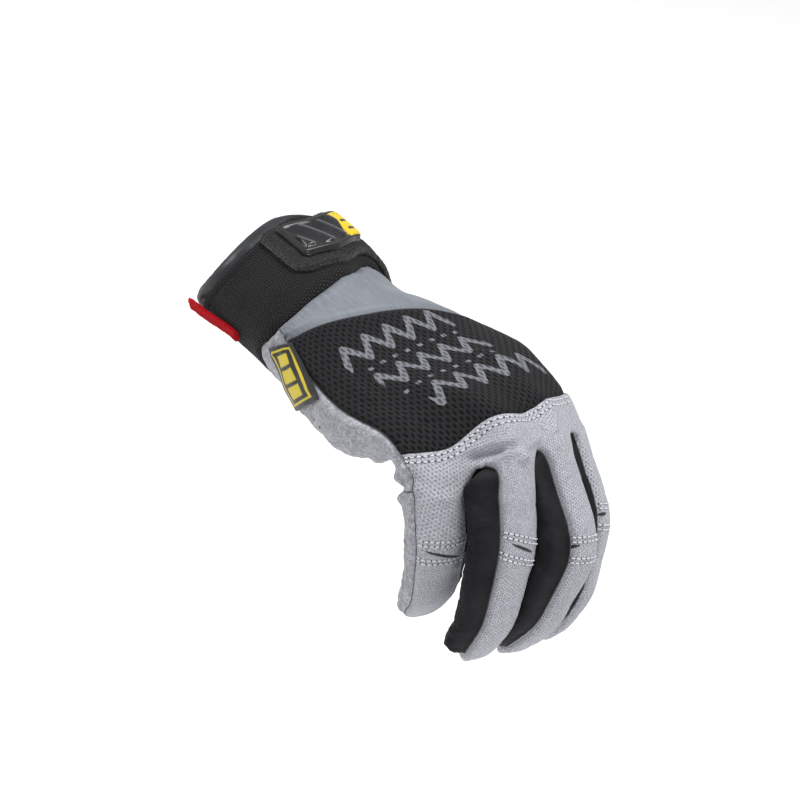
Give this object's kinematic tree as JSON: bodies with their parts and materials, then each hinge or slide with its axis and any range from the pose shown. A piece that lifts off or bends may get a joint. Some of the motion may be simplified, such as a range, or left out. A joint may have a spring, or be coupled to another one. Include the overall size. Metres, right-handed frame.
{
  "type": "mechanic glove",
  "caption": "Right-hand mechanic's work glove with curled fingers, knit cuff, wrist strap and grey knuckle panels.",
  "frame": {"origin": "middle of the hollow at the wrist crease, where a hand fills the glove; the mount hand", "axes": "+X along the hand to the knuckles, +Y to the thumb side, +Z out of the back of the hand"},
  "size_m": [0.1956, 0.1149, 0.1107],
  "materials": {
    "knit_black": "knitted, matt",
    "lining_black": "smooth, matt",
    "hook_tape": "brushed loop tape, matt",
    "grip_rubber": "moulded, satin",
    "badge_yellow": "moulded, satin",
    "red_webbing": "woven webbing",
    "satin_grey": "smooth stretch cloth, satin",
    "mesh_black": "knitted mesh with a grey print",
    "panel_grey": "synthetic leather with a fine embossed grain",
    "stretch_black": "stretch cloth, matt",
    "suede_grey": "synthetic suede, matt",
    "label_print": "woven label, black and yellow"
  },
  "bodies": {
    "root": {"cuff": "knit_black", "cuff_lining": "lining_black", "closure_strap": "hook_tape", "closure_grip": "grip_rubber", "closure_badge": "badge_yellow", "pull_loop": "red_webbing", "wrist_panel": "satin_grey", "back_panel": "mesh_black", "knuckle_panel": "panel_grey", "finger_back_little": "panel_grey", "finger_back_ring": "panel_grey", "finger_back_middle": "panel_grey", "finger_back_index": "panel_grey", "thumb_back": "panel_grey", "fourchette_1": "stretch_black", "fourchette_2": "stretch_black", "fourchette_3": "stretch_black", "palm_panel": "suede_grey", "finger_front_little": "suede_grey", "finger_front_ring": "suede_grey", "finger_front_middle": "suede_grey", "finger_front_index": "suede_grey", "thumb_front": "suede_grey", "side_label": "label_print"}
  },
  "joints": []
}
